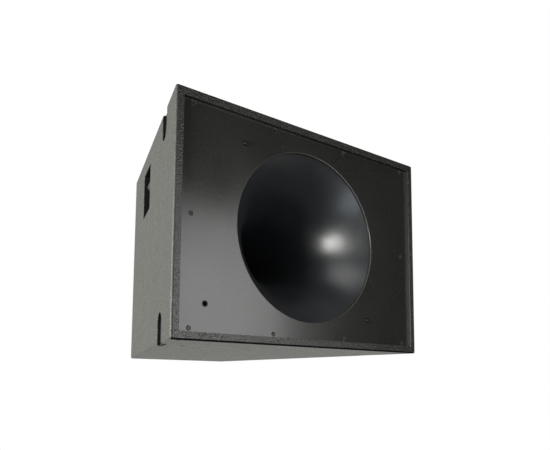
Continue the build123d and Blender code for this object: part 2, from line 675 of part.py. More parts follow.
with BuildPart() as driver_terminals:
    tag_plane = back_plane(DEPTH - DRIVER_FACE - BASKET_FACE - BASKET_FLANGE, HORN_Z - TERMINAL_DROP)
    with BuildSketch(tag_plane):
        RectangleRounded(*TERMINAL_SIZE, BLOCK_CORNER)
    extrude(amount=TERMINAL_DEPTH)
save(driver_terminals, "driver_terminals")

# ---- sides: handles ------------------------------------------------------------------
with BuildPart() as handle_cup:
    with BuildSketch(handle_plane(PLY, 1)):
        RectangleRounded(CUP_FLANGE, CUP_FLANGE, HANDLE_CORNER)
    extrude(amount=-CUP_WALL)
    with BuildSketch(handle_plane(PLY, 1)):
        RectangleRounded(HANDLE_SIZE + 2 * CUP_WALL, HANDLE_SIZE + 2 * CUP_WALL,
                         HANDLE_CORNER + CUP_WALL)
    extrude(amount=PLY - HANDLE_RECESS - CUP_WALL)
    with BuildSketch(handle_plane(PLY, 1)):
        RectangleRounded(HANDLE_SIZE, HANDLE_SIZE, HANDLE_CORNER)
    extrude(amount=PLY - HANDLE_RECESS, mode=Mode.SUBTRACT)
    with Locations(handle_plane(PLY, 1)):
        with GridLocations(CUP_SCREW_SPREAD, CUP_SCREW_SPREAD, 2, 2):
            Hole(CUP_SCREW[0] + CLEARANCE, depth=CUP_WALL)
save_pair(handle_cup, "handle_cup_{}")

along_side = side_plane().x_dir
bar_middle = side_plane().from_local_coords((HANDLE_U, HANDLE_V + BAR_RISE, 0))
bar_plane = Plane(origin=bar_middle, x_dir=along_side, z_dir=(0, 0, 1))

with BuildPart() as handle_bar:
    with BuildLine(bar_plane) as bar_path:
        FilletPolyline((-BAR_HALF_SPAN, HANDLE_RECESS), (-BAR_HALF_SPAN, BAR_DEPTH),
                       (BAR_HALF_SPAN, BAR_DEPTH), (BAR_HALF_SPAN, HANDLE_RECESS), radius=BAR_BEND)
    with BuildSketch(Plane(origin=bar_path.line @ 0, z_dir=bar_path.line % 0)):
        Circle(BAR_RADIUS)
    sweep(path=bar_path.line)
save_pair(handle_bar, "handle_bar_{}")

with BuildPart() as handle_grip:
    grip_middle = bar_plane.from_local_coords((0, BAR_DEPTH, 0))
    with BuildSketch(Plane(origin=grip_middle, x_dir=(0, 0, 1), z_dir=along_side)):
        Circle(GRIP_RADIUS)
        Circle(BAR_RADIUS + CLEARANCE / 2, mode=Mode.SUBTRACT)
    extrude(amount=GRIP_HALF_LENGTH, both=True)
    grip_ends = handle_grip.edges().filter_by(GeomType.CIRCLE).sort_by(SortBy.RADIUS)[-2:]
    fillet(grip_ends, 2)
save_pair(handle_grip, "handle_grip_{}")

cup_screw = screw(*CUP_SCREW, countersunk=False)
with BuildPart() as handle_screws:
    with Locations(handle_plane(PLY + CUP_WALL + CUP_SCREW[3], -1)):
        with GridLocations(CUP_SCREW_SPREAD, CUP_SCREW_SPREAD, 2, 2):
            add(cup_screw)
save_pair(handle_screws, "handle_screws_{}")

# ---- sides: rigging plates in their pockets ------------------------------------------
for (edge, inward), end_name in zip(POCKET_EDGES, ("top", "bottom")):
    with BuildPart() as rigging_plate:
        extrude(pocket_outline(edge, inward, RIG_PLATE_GAP, -CUT), amount=RIG_PLATE)
        hole_height = edge + inward * (POCKET_REACH - POCKET_HALF_WIDTH)
        plate_face = POCKET_DEPTH - RIG_PLATE
        with Locations(on_pocket_floor(hole_height, plate_face)):
            Hole(TAP_RADIUS, depth=RIG_PLATE)
        with Locations(*[on_pocket_floor(hole_height - inward * offset, plate_face)
                         for offset in RIG_SCREW_OFFSETS]):
            CounterSinkHole(RIG_SCREW_RADIUS + CLEARANCE, RIG_SCREW_HEAD + CLEARANCE,
                            depth=RIG_PLATE, counter_sink_angle=90)
    save_pair(rigging_plate, "rigging_plate_{}_" + end_name)

rig_screw = screw(RIG_SCREW_RADIUS, RIG_SCREW_LENGTH, RIG_SCREW_HEAD,
                  RIG_SCREW_HEAD - RIG_SCREW_RADIUS, countersunk=True)
rig_screw_places = [on_pocket_floor(height, POCKET_DEPTH - RIG_PLATE)
                    for height in rig_screw_heights()]
right_rig_screws = group(rig_screw, rig_screw_places)
with BuildPart() as rigging_plate_screws:
    add(right_rig_screws.part)
    mirror(right_rig_screws.part, about=Plane.YZ)
save(rigging_plate_screws, "rigging_plate_screws")

# ---- threaded bushes in the top and bottom panels ------------------------------------
with BuildPart() as bush:
    with BuildSketch(Plane.XZ):
        Polygon((TAP_RADIUS, -BUSH_SUNK), (BUSH_RADIUS, -BUSH_SUNK), (BUSH_RADIUS, -PLY),
                (BUSH_FLANGE_RADIUS, -PLY), (BUSH_FLANGE_RADIUS, -PLY - BUSH_FLANGE),
                (TAP_RADIUS, -PLY - BUSH_FLANGE), align=None)
    revolve(axis=Axis.Z)
save(group(bush.part, point_places(HEIGHT, 1)), "top_rigging_bushes")
save(group(bush.part, point_places(0, -1)), "bottom_rigging_bushes")

# ---- connector dish, sockets and their screws ----------------------------------------
socket_spots = ((SOCKET_SPREAD, 0), (-SOCKET_SPREAD, 0))
socket_screw_spots = [(x + side * SOCKET_SCREW_OFFSET, side * SOCKET_SCREW_OFFSET)
                      for x, _ in socket_spots for side in (1, -1)]

with BuildPart() as connector_dish:
    with BuildSketch(back_plane(0, DISH_Z)):
        RectangleRounded(DISH_FLANGE[0] - 2 * DISH_ROOM, DISH_FLANGE[1] - 2 * DISH_ROOM,
                         DISH_FLANGE_CORNER - DISH_ROOM)
    extrude(amount=-DISH_METAL)
    with BuildSketch(back_plane(0, DISH_Z)):
        RectangleRounded(*DISH_SIZE, DISH_CORNER)
    extrude(amount=-DISH_DEPTH - DISH_METAL)
    with BuildSketch(back_plane(0, DISH_Z)):
        RectangleRounded(DISH_SIZE[0] - 2 * DISH_METAL, DISH_SIZE[1] - 2 * DISH_METAL,
                         DISH_INNER_CORNER)
    extrude(amount=-DISH_DEPTH, mode=Mode.SUBTRACT)
    with Locations(back_plane(DISH_DEPTH, DISH_Z)):
        with Locations(*socket_spots):
            Hole(SOCKET_BODY_RADIUS + CLEARANCE, depth=DISH_METAL)
        with Locations(*socket_screw_spots):
            Hole(SOCKET_SCREW[0] + CLEARANCE, depth=DISH_METAL)
    with Locations(back_plane(0, DISH_Z)):
        with GridLocations(*DISH_SCREW_GRID, 2, 2):
            CounterSinkHole(DISH_SCREW[0] + CLEARANCE, DISH_SCREW[2] + CLEARANCE,
                            depth=DISH_METAL, counter_sink_angle=90)
save(connector_dish, "connector_dish")

for (socket_x, _), socket_name in zip(socket_spots, ("input_socket", "link_socket")):
    flange_plane = back_plane(DISH_DEPTH, DISH_Z).shift_origin((-socket_x, BACK - DISH_DEPTH, DISH_Z))
    with BuildPart() as socket:
        with BuildSketch(flange_plane):
            RectangleRounded(SOCKET_FLANGE, SOCKET_FLANGE, SOCKET_CORNER)
        extrude(amount=SOCKET_FLANGE_METAL)
        with BuildSketch(flange_plane.offset(SOCKET_FLANGE_METAL)):
            Circle(SOCKET_BODY_RADIUS + SOCKET_COLLAR_WALL)
        extrude(amount=SOCKET_COLLAR)
        with BuildSketch(flange_plane):
            Circle(SOCKET_BODY_RADIUS)
        extrude(amount=-SOCKET_LENGTH)
        with Locations(flange_plane.offset(SOCKET_FLANGE_METAL + SOCKET_COLLAR)):
            Hole(SOCKET_BORE_RADIUS, depth=SOCKET_BORE)
        with Locations(flange_plane.offset(SOCKET_FLANGE_METAL)):
            with Locations((SOCKET_SCREW_OFFSET, SOCKET_SCREW_OFFSET),
                           (-SOCKET_SCREW_OFFSET, -SOCKET_SCREW_OFFSET)):
                Hole(SOCKET_SCREW[0] + CLEARANCE, depth=SOCKET_FLANGE_METAL)
    save(socket, socket_name)

dish_screw = screw(*DISH_SCREW, countersunk=True)
with BuildPart() as dish_screws:
    with Locations(back_plane(0, DISH_Z)):
        with GridLocations(*DISH_SCREW_GRID, 2, 2):
            add(dish_screw)
save(dish_screws, "dish_screws")

socket_screw = screw(*SOCKET_SCREW, countersunk=False)
with BuildPart() as socket_screws:
    with Locations(back_plane(DISH_DEPTH - SOCKET_FLANGE_METAL - SOCKET_SCREW[3], DISH_Z)):
        with Locations(*socket_screw_spots):
            add(socket_screw)
save(socket_screws, "socket_screws")

# ---- crossover on the floor of the rear chamber --------------------------------------
board_plane = Plane.XY.offset(PLY + STANDOFF).shift_origin((0, FRONT + BOARD_DEPTH, PLY + STANDOFF))
board_top = board_plane.offset(BOARD_THICKNESS)

with BuildPart() as crossover_board:
    with BuildSketch(board_plane):
        RectangleRounded(*BOARD_SIZE, BOARD_CORNER)
    extrude(amount=BOARD_THICKNESS)
    with Locations(board_top):
        with GridLocations(*BOARD_HOLE_GRID, 2, 2):
            Hole(BOARD_SCREW[0] + CLEARANCE, depth=BOARD_THICKNESS)
save(crossover_board, "crossover_board")

with BuildPart() as board_standoffs:
    with BuildSketch(board_plane):
        with GridLocations(*BOARD_HOLE_GRID, 2, 2):
            Circle(STANDOFF_RADIUS)
            Circle(BOARD_SCREW[0] + CLEARANCE, mode=Mode.SUBTRACT)
    extrude(amount=-STANDOFF)
save(board_standoffs, "board_standoffs")

board_screw = screw(*BOARD_SCREW, countersunk=False)
with BuildPart() as board_screws:
    with Locations(board_top.offset(BOARD_SCREW[3])):
        with GridLocations(*BOARD_HOLE_GRID, 2, 2):
            add(board_screw)
save(board_screws, "board_screws")

with BuildPart() as inductor_bobbin:
    with BuildSketch(board_top):
        with Locations(INDUCTOR_PLACE):
            Circle(BOBBIN_RADIUS)
            Circle(BOBBIN_BORE, mode=Mode.SUBTRACT)
    extrude(amount=INDUCTOR_HEIGHT)
    with BuildSketch(board_top.offset(BOBBIN_CHEEK)):
        with Locations(INDUCTOR_PLACE):
            Circle(BOBBIN_RADIUS + CUT)
            Circle(BOBBIN_CORE, mode=Mode.SUBTRACT)
    extrude(amount=INDUCTOR_HEIGHT - 2 * BOBBIN_CHEEK, mode=Mode.SUBTRACT)
save(inductor_bobbin, "inductor_bobbin")

with BuildPart() as inductor_winding:
    with BuildSketch(board_top.offset(BOBBIN_CHEEK + CLEARANCE)):
        with Locations(INDUCTOR_PLACE):
            Circle(WINDING_RADIUS)
            Circle(BOBBIN_CORE + CLEARANCE, mode=Mode.SUBTRACT)
    extrude(amount=INDUCTOR_HEIGHT - 2 * (BOBBIN_CHEEK + CLEARANCE))
save(inductor_winding, "inductor_winding")

with BuildPart() as capacitors:
    axis_height = BOARD_TOP + CAPACITOR_RADIUS + CLEARANCE
    for row in CAPACITOR_ROWS:
        with BuildSketch(Plane.YZ.shift_origin((0, FRONT + BOARD_DEPTH + row, axis_height))
                         .offset(CAPACITOR_ENDS[0])):
            Circle(CAPACITOR_RADIUS)
        extrude(amount=CAPACITOR_ENDS[1] - CAPACITOR_ENDS[0])
save(capacitors, "capacitors")

with BuildPart() as terminal_blocks:
    with BuildSketch(board_top):
        with Locations((SOCKET_SPREAD, INPUT_BLOCK_DEPTH - BOARD_DEPTH),
                       (-SOCKET_SPREAD, INPUT_BLOCK_DEPTH - BOARD_DEPTH),
                       (0, DRIVER_BLOCK_DEPTH - BOARD_DEPTH)):
            RectangleRounded(BLOCK_SIZE[0], BLOCK_SIZE[1], BLOCK_CORNER)
    extrude(amount=BLOCK_SIZE[2])
save(terminal_blocks, "terminal_blocks")


# ---- internal leads, clipped between the sockets, the board and the driver -----------
def bend_radii(points):
    """Largest arcs that each corner's two runs allow."""
    runs = [b - a for a, b in zip(points, points[1:])]
    return [0.45 * min(before.length, after.length) / tan(radians(before.get_angle(after)) / 2)
            for before, after in zip(runs, runs[1:])]


def lead(points):
    """Round lead along straight runs joined by tangent arcs."""
    radii = bend_radii(points)
    with BuildPart() as wire:
        with BuildLine() as route:
            FilletPolyline(*points, radius=radii)
        with BuildSketch(Plane(origin=route.line @ 0, z_dir=route.line % 0)):
            Circle(LEAD_RADIUS)
        sweep(path=route.line)
    length = route.wire().length
    fill = wire.part.volume / (pi * LEAD_RADIUS ** 2 * length)
    print("lead radii", [round(radius, 1) for radius in radii])
    print("lead length", round(length, 1), "volume ratio", round(fill, 4))
    return wire


block_top = BOARD_TOP + BLOCK_SIZE[2]
socket_back = BACK - DISH_DEPTH - SOCKET_LENGTH
input_route = [
    Vector(SOCKET_SPREAD, socket_back, DISH_Z),
    Vector(SOCKET_SPREAD, FRONT + INPUT_BLOCK_DEPTH, DISH_Z),
    Vector(SOCKET_SPREAD, FRONT + INPUT_BLOCK_DEPTH, block_top),
]
right_lead = lead(input_route)
with BuildPart() as input_leads:
    add(right_lead.part)
    mirror(right_lead.part, about=Plane.YZ)
save(input_leads, "input_leads")

driver_route = [
    Vector(0, FRONT + DRIVER_FACE + BASKET_FACE + BASKET_FLANGE + TERMINAL_DEPTH, HORN_Z - TERMINAL_DROP),
    Vector(0, FRONT + DRIVER_BLOCK_DEPTH - 4, HORN_Z - TERMINAL_DROP),
    Vector(5, FRONT + DRIVER_BLOCK_DEPTH + 7, HORN_Z - 142),
    Vector(0, FRONT + DRIVER_BLOCK_DEPTH, HORN_Z - 178),
    Vector(0, FRONT + DRIVER_BLOCK_DEPTH, block_top),
]
save(lead(driver_route), "driver_lead")

# ---- cleats and damping --------------------------------------------------------------
with BuildPart() as rear_cleats:
    for z in (INNER_BOTTOM, INNER_TOP - CLEAT):
        with BuildSketch(Plane.XY.offset(z)):
            with Locations((-REAR_CLEAT_X, BACK - PLY - CLEAT / 2),
                           (REAR_CLEAT_X, BACK - PLY - CLEAT / 2)):
                Rectangle(REAR_CLEAT_LENGTH, CLEAT)
        extrude(amount=CLEAT)
save(rear_cleats, "rear_cleats")

with BuildPart() as baffle_cleats:
    for z in (INNER_BOTTOM, INNER_TOP - CLEAT):
        with BuildSketch(Plane.XY.offset(z)):
            with Locations((0, FRONT + PLATE_BACK + PLY + CLEAT / 2)):
                Rectangle(BAFFLE_CLEAT_LENGTH, CLEAT)
        extrude(amount=CLEAT)
save(baffle_cleats, "baffle_cleats")

with BuildPart() as right_pad:
    with BuildSketch(side_plane(PLY)):
        with Locations((sum(PAD_U) / 2, HORN_Z)):
            RectangleRounded(PAD_U[1] - PAD_U[0], PAD_HEIGHT, PAD_CORNER)
    extrude(amount=-PAD_THICKNESS)
with BuildPart() as damping_pads:
    add(right_pad.part)
    mirror(right_pad.part, about=Plane.YZ)
save(damping_pads, "damping_pads")
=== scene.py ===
"""Looks of a tapered loudspeaker cabinet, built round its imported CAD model. Lengths are in metres."""
import json
import math

import bmesh
import bpy
from mathutils import Matrix, Vector


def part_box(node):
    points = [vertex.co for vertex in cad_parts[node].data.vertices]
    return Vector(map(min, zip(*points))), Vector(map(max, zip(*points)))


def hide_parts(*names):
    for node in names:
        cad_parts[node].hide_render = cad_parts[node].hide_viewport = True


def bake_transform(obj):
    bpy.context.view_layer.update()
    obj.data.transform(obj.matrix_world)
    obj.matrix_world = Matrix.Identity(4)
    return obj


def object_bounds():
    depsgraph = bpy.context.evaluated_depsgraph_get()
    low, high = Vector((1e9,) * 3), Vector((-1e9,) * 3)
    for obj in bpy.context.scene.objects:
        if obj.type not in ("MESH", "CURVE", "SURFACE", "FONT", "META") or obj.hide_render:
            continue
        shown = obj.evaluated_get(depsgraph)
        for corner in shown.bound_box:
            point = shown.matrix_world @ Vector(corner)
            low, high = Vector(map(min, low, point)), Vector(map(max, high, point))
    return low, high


# ---- camera: close to the front left corner, a little below the cabinet ----
CAMERA_PLACE = Vector((-0.952, -1.471, -0.112))
CAMERA_YAW = math.radians(43.81)        # from +Y towards +X
CAMERA_PITCH = math.radians(6.72)       # upwards
CAMERA_ROLL = math.radians(-0.53)       # clockwise as seen through the lens is negative
CAMERA_LENS = 42.0                      # mm on a 36 mm sensor
CAMERA_SHIFT = (-0.1545, 0.1727)

# ---- stage and light ----
FLOOR_DROP = 0.8                        # floor below the cabinet, which hangs in the air
FLOOR_HALF = 3.0
BACKDROP_WAY = (0.69, 0.72, 0.0)        # from the camera past the cabinet
BACKDROP_RISE = (0.15, 0.8, 0.02, 0.5)  # cosines to BACKDROP_WAY, and the strengths there
BACKDROP_COLOUR = (1.0, 0.995, 0.94, 1.0)
LAMPS = {
    # name: place, the point it faces, size, watts, colour
    # key makes the horn's bright spot, low and high its faint patches, and sheen is mirrored in the plate
    "key": ((-2.0, 0.03, 0.20), (0.05, -0.1, 0.26), (2.6, 0.85), 158, (1.0, 1.0, 0.97)),
    "sheen": ((0.90, -2.8, 0.38), (-0.15, -0.3, 0.2), (1.5, 1.3), 31, (1.0, 1.0, 1.0)),
    "low": ((-0.43, -1.29, -0.45), (0.1, -0.1, 0.3), (0.5, 0.4), 1.7, (0.82, 0.91, 1.0)),
    "high": ((-0.94, -0.94, 1.5), (0.1, -0.1, 0.3), (0.8, 0.8), 3.8, (1.0, 1.0, 1.0)),
}

# ---- paint colours ----
PAINT_DARK = (0.014, 0.0138, 0.0122)
PAINT_LIGHT = (0.034, 0.0335, 0.0292)
PAINT_COOL = (0.024, 0.0255, 0.0235)
# worn paler edges of the cabinet paint, and the painted highlight along the plate's edges
PAINT_WEAR_AND_EDGE_HIGHLIGHT = (0.11, 0.105, 0.09)
PLATE_DARK = (0.018, 0.0178, 0.0155)
PLATE_LIGHT = (0.026, 0.0256, 0.0225)
PLATE_COOL = (0.022, 0.0230, 0.0222)
# painted shade: black on the pockets' and handle openings' walls and along the lower front arris
PAINTED_SHADE_BLACK = (0.005, 0.005, 0.005)

# ---- where shade is painted black on the cabinet's paint, and where the paint is matter ----
POCKET_HALF = (0.0058, 0.0296, 0.042)    # half sizes outward, along and up
HANDLE_HALF = (0.0085, 0.0595, 0.0595)
HANDLE_LIP = 0.0015                      # outer edge of the opening, left in the side's own colour
SIDE_DEPTH = 0.0075                      # rigging holes below the side's face
ARRIS_PAINTED_SHADE = 0.0038                      # painted shade: dark line along the lower front arris
ARRIS_ROUND = 0.0055                     # matter paint round the upright front edges
BOARD = 0.018                            # thickness of the side boards
REVEAL_DEPTH = 0.006                     # middle of the reveal beside the plate, where shade is painted part-black
REVEAL_HALF = (0.004, 0.005)             # half sizes outward and back
REVEAL_SHADE = 0.6

# ---- the driver's soft rings ----
SHEET = 0.0008
RING_STEPS = 5                           # mesh steps round each sector
SURROUND_RADII = (0.070, 0.0745, 0.0845)  # inner edge, and the roll's inner and outer edge
SURROUND_SECTORS = 24
ROLL_STEPS = 12
SPIDER_RADII = (0.0257, 0.066)           # inner edge, and where the outer flange begins
SPIDER_SECTORS = 12
SPIDER_HALF_WAVES = 7
HALF_WAVE_STEPS = 4

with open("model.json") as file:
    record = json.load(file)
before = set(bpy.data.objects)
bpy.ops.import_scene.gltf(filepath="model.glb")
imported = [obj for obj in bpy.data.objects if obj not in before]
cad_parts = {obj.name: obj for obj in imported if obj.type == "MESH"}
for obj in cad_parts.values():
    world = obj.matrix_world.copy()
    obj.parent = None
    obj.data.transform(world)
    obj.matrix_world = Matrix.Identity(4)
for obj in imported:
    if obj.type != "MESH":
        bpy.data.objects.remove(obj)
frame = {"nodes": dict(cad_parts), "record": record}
nodes = frame["nodes"]
cad_box = [list(corner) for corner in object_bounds()]
scene = bpy.context.scene


# ---- material kit --------------------------------------------------------------------
class Finish:
    """A procedural material, built from the object's own coordinates."""

    def __init__(self, name, **constants):
        self.material = bpy.data.materials.new(name)
        self.material.use_nodes = True
        self.tree = self.material.node_tree
        self.shader = self.tree.nodes["Principled BSDF"]
        for socket, value in constants.items():
            self.shader.inputs[socket.replace("_", " ")].default_value = value
        self.place = self.node("ShaderNodeTexCoord").outputs["Object"]

    def node(self, kind, **settings):
        made = self.tree.nodes.new(kind)
        for key, value in settings.items():
            setattr(made, key, value)
        return made

    def link(self, source, target):
        self.tree.links.new(source, target)

    def stretched(self, scale):
        """The object's coordinates, scaled apart on each axis."""
        mapping = self.node("ShaderNodeMapping")
        mapping.inputs["Scale"].default_value = scale
        self.link(self.place, mapping.inputs["Vector"])
        return mapping.outputs["Vector"]

    def noise(self, scale, detail=2.0, roughness=0.5, place=None):
        made = self.node("ShaderNodeTexNoise")
        made.inputs["Scale"].default_value = scale
        made.inputs["Detail"].default_value = detail
        made.inputs["Roughness"].default_value = roughness
        self.link(place or self.place, made.inputs["Vector"])
        return made.outputs["Fac"]

    def cells(self, scale):
        made = self.node("ShaderNodeTexVoronoi")
        made.inputs["Scale"].default_value = scale
        self.link(self.place, made.inputs["Vector"])
        return made.outputs["Distance"]

    def spread(self, factor, low, high, to_low=0.0, to_high=1.0):
        """Maps low..high of a factor onto to_low..to_high, and holds it there."""
        made = self.node("ShaderNodeMapRange")
        for socket, value in zip(("From Min", "From Max", "To Min", "To Max"), (low, high, to_low, to_high)):
            made.inputs[socket].default_value = value
        made.interpolation_type = "SMOOTHSTEP"
        self.link(factor, made.inputs["Value"])
        return made.outputs["Result"]

    def blend(self, factor, first, second):
        """Colour between first and second, each a colour or a socket."""
        made = self.node("ShaderNodeMix", data_type="RGBA")
        self.link(factor, made.inputs["Factor"])
        colour_sockets = [socket for socket in made.inputs if socket.type == "RGBA"]
        for socket, value in zip(colour_sockets, (first, second)):
            if isinstance(value, bpy.types.NodeSocket):
                self.link(value, socket)
            else:
                socket.default_value = (*value, 1.0)
        return [socket for socket in made.outputs if socket.type == "RGBA"][0]

    def combine(self, operation, first, second):
        made = self.node("ShaderNodeMath", operation=operation)
        for socket, value in zip(made.inputs, (first, second)):
            if isinstance(value, bpy.types.NodeSocket):
                self.link(value, socket)
            else:
                socket.default_value = value
        return made.outputs["Value"]

    def within(self, value, middle, half):
        """1 where a value lies within half of middle."""
        made = self.node("ShaderNodeMath", operation="COMPARE")
        self.link(value, made.inputs[0])
        made.inputs[1].default_value = middle
        made.inputs[2].default_value = half
        return made.outputs["Value"]

    def edges(self, radius):
        """1 along sharp edges, 0 on open faces."""
        bevel = self.node("ShaderNodeBevel", samples=4)
        bevel.inputs["Radius"].default_value = radius
        geometry = self.node("ShaderNodeNewGeometry")
        dot = self.node("ShaderNodeVectorMath", operation="DOT_PRODUCT")
        self.link(bevel.outputs["Normal"], dot.inputs[0])
        self.link(geometry.outputs["Normal"], dot.inputs[1])
        return self.spread(dot.outputs["Value"], 0.999, 0.93)

    def relief(self, heights, rounding=0.0):
        """Stacks bumps: pairs of height socket and depth in metres."""
        normal = None
        if rounding:
            bevel = self.node("ShaderNodeBevel", samples=4)
            bevel.inputs["Radius"].default_value = rounding
            normal = bevel.outputs["Normal"]
        for height, depth in heights:
            bump = self.node("ShaderNodeBump")
            bump.inputs["Distance"].default_value = depth
            self.link(height, bump.inputs["Height"])
            if normal:
                self.link(normal, bump.inputs["Normal"])
            normal = bump.outputs["Normal"]
        self.link(normal, self.shader.inputs["Normal"])

    def paint(self, colour, roughness):
        self.link(colour, self.shader.inputs["Base Color"])
        self.link(roughness, self.shader.inputs["Roughness"])
        return self.material


# ---- finishes ------------------------------------------------------------------------
def textured_paint():
    """Roller-applied dark grey paint with a pebbled skin, rubbed paler on its edges; painted shade: black in
    the pockets and handle openings and along the lower front arris, part-black beside the plate.
    """
    made = Finish("textured_paint")
    pebbles = made.noise(300, detail=1, roughness=0.5)
    grit = made.cells(420)
    patches = made.noise(26, detail=4, roughness=0.6)
    broad = made.noise(3.1, detail=2)
    rubbed = made.combine("MULTIPLY", made.edges(0.0022), made.spread(patches, 0.42, 0.62))
    tone = made.blend(made.spread(pebbles, 0.35, 0.65), PAINT_DARK, PAINT_LIGHT)
    tone = made.blend(made.spread(broad, 0.35, 0.65, 0.0, 0.25), tone, PAINT_COOL)
    tone = made.blend(made.combine("MULTIPLY", rubbed, 0.3), tone, PAINT_WEAR_AND_EDGE_HIGHLIGHT)
    # painted shade: black in the pockets, handle openings and lower front arris, part-black beside the plate
    painted_shade = painted_shade_mask(made)
    tone = made.blend(painted_shade, tone, PAINTED_SHADE_BLACK)
    shine = made.combine("ADD", made.spread(patches, 0.3, 0.7, 0.24, 0.28),
                         made.spread(pebbles, 0.3, 0.7, -0.06, 0.06))
    shine = made.combine("ADD", shine, made.combine("MULTIPLY", painted_shade, 0.4))
    shine = made.combine("ADD", shine, made.combine("MULTIPLY", upright_arris(made), 0.3))
    made.link(made.spread(painted_shade, 0.0, 1.0, 0.45, 0.06), made.shader.inputs["Specular IOR Level"])
    made.relief([(pebbles, 0.0007), (grit, 0.0003)], rounding=0.0012)
    return made.paint(tone, shine)


def reach_along(made, way):
    """Distance along a direction, with the left half of the cabinet folded onto the right half."""
    parts = made.node("ShaderNodeSeparateXYZ")
    made.link(made.place, parts.inputs[0])
    folded = made.node("ShaderNodeCombineXYZ")
    made.link(made.combine("ABSOLUTE", parts.outputs["X"], 0.0), folded.inputs["X"])
    made.link(parts.outputs["Y"], folded.inputs["Y"])
    made.link(parts.outputs["Z"], folded.inputs["Z"])
    dot = made.node("ShaderNodeVectorMath", operation="DOT_PRODUCT")
    dot.inputs[1].default_value = way
    made.link(folded.outputs[0], dot.inputs[0])
    return dot.outputs["Value"]


def in_box(made, ways, middle, half):
    """1 inside a box: its middle and half sizes, measured along each way."""
    inside = None
    for way, at, reach in zip(ways, middle, half):
        near = made.within(reach_along(made, way), at, reach)
        inside = made.combine("MULTIPLY", inside, near) if inside else near
    return inside


def upright_arris(made):
    """1 on the rounded upright edges beside the plate."""
    return in_box(made, (OUTWARD, REARWARD), (side_face, cad_box[0][1]), (ARRIS_ROUND, ARRIS_ROUND))


def painted_shade_mask(made):
    """Painted shade: 1 on the lower front arris and on the pockets' and handle openings' walls; less beside
    the plate.
    """
    total = in_box(made, (REARWARD, UP), (cad_box[0][1], cad_box[0][2]), (ARRIS_PAINTED_SHADE, ARRIS_PAINTED_SHADE))
    for middle, half in RECESSES:
        total = made.combine("ADD", total, in_box(made, (OUTWARD, ALONG, UP), middle, half))
    reveal = in_box(made, (OUTWARD, REARWARD), (side_face - BOARD, cad_box[0][1] + REVEAL_DEPTH), REVEAL_HALF)
    return made.combine("ADD", total, made.combine("MULTIPLY", reveal, REVEAL_SHADE))


def plate_paint():
    """Smoother satin paint of the front plate, with a painted highlight along its rounded edges."""
    made = Finish("plate_paint", Specular_IOR_Level=0.5)
    grain = made.noise(240, detail=3, roughness=0.6)
    broad = made.noise(7, detail=2, roughness=0.5)
    tone = made.blend(made.spread(grain, 0.3, 0.7), PLATE_DARK, PLATE_LIGHT)
    tone = made.blend(made.spread(broad, 0.35, 0.65, 0.0, 0.5), tone, PLATE_COOL)
    # painted highlight: paler along the plate's rounded edges
    tone = made.blend(made.combine("MULTIPLY", made.edges(0.003), 0.8), tone, PAINT_WEAR_AND_EDGE_HIGHLIGHT)
    made.relief([(grain, 0.00005)], rounding=0.0012)
    return made.paint(tone, made.spread(broad, 0.3, 0.7, 0.18, 0.22))


def plain(name, colours, roughness, grain_scale, grain_depth, wear=None, **constants):
    """Moulded, cast or pressed surface: grain, mottled colour, uneven gloss and worn edges."""
    made = Finish(name, **constants)
    grain = made.noise(grain_scale, detail=3, roughness=0.6)
    clouds = made.noise(grain_scale / 14, detail=3)
    tone = made.blend(made.spread(clouds, 0.3, 0.7), *colours)
    if wear:
        tone = made.blend(made.combine("MULTIPLY", made.edges(0.0008), 0.6), tone, wear)
    made.relief([(grain, grain_depth)], rounding=0.0004)
    shine = made.combine("ADD", made.spread(clouds, 0.3, 0.7, roughness[0], roughness[1]),
                         made.spread(grain, 0.3, 0.7, -0.03, 0.03))
    return made.paint(tone, shine)


def birch_plywood():
    """Bare veneer with drawn-out grain."""
    made = Finish("birch_plywood")
    along = made.noise(22, detail=5, roughness=0.62, place=made.stretched((1.0, 9.0, 9.0)))
    fine = made.noise(160, detail=2, place=made.stretched((0.5, 6.0, 6.0)))
    tone = made.blend(made.spread(along, 0.32, 0.68), (0.40, 0.27, 0.14), (0.62, 0.47, 0.29))
    made.relief([(fine, 0.0003)])
    return made.paint(tone, made.spread(fine, 0.3, 0.7, 0.62, 0.78))


def horn_gloss():
    """Black gelcoat: faint orange peel under a clear skin, dust settled in broad clouds."""
    made = Finish("horn_gloss", Specular_IOR_Level=1.0)
    peel = made.noise(55, detail=2)
    dust = made.noise(9, detail=5, roughness=0.6)
    tone = made.blend(made.spread(dust, 0.4, 0.75), (0.022, 0.0235, 0.026), (0.030, 0.0315, 0.034))
    made.relief([(peel, 0.0001)])
    return made.paint(tone, made.spread(dust, 0.3, 0.75, 0.29, 0.35))


def woven(name, dark, light, threads):
    """Cloth or paper with crossed threads."""
    made = Finish(name, Sheen_Weight=0.15)
    warp = made.node("ShaderNodeTexWave", bands_direction="X")
    weft = made.node("ShaderNodeTexWave", bands_direction="Z")
    for wave in (warp, weft):
        wave.inputs["Scale"].default_value = threads
        wave.inputs["Distortion"].default_value = 1.2
        made.link(made.place, wave.inputs["Vector"])
    weave = made.combine("MULTIPLY", warp.outputs["Fac"], weft.outputs["Fac"])
    fibre = made.noise(threads * 2, detail=4)
    tone = made.blend(made.combine("MULTIPLY", weave, fibre), dark, light)
    made.relief([(weave, 0.0003), (fibre, 0.0002)])
    return made.paint(tone, made.spread(fibre, 0.3, 0.7, 0.72, 0.9))


# ---- pockets and handle openings in the sloping sides, where shade is painted; found from the mounts and the handles ----
rigging_holes = [mount for mount in frame["record"]["mounts"]
                 if mount["name"] in ("right_top_rigging_hole", "right_bottom_rigging_hole")]
OUTWARD = Vector(rigging_holes[0]["axis"])
ALONG = Vector((-OUTWARD.y, OUTWARD.x, 0.0))
UP = Vector((0.0, 0.0, 1.0))
REARWARD = Vector((0.0, 1.0, 0.0))


def middle_of(name):
    low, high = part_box(name)
    return (Vector(low) + Vector(high)) / 2


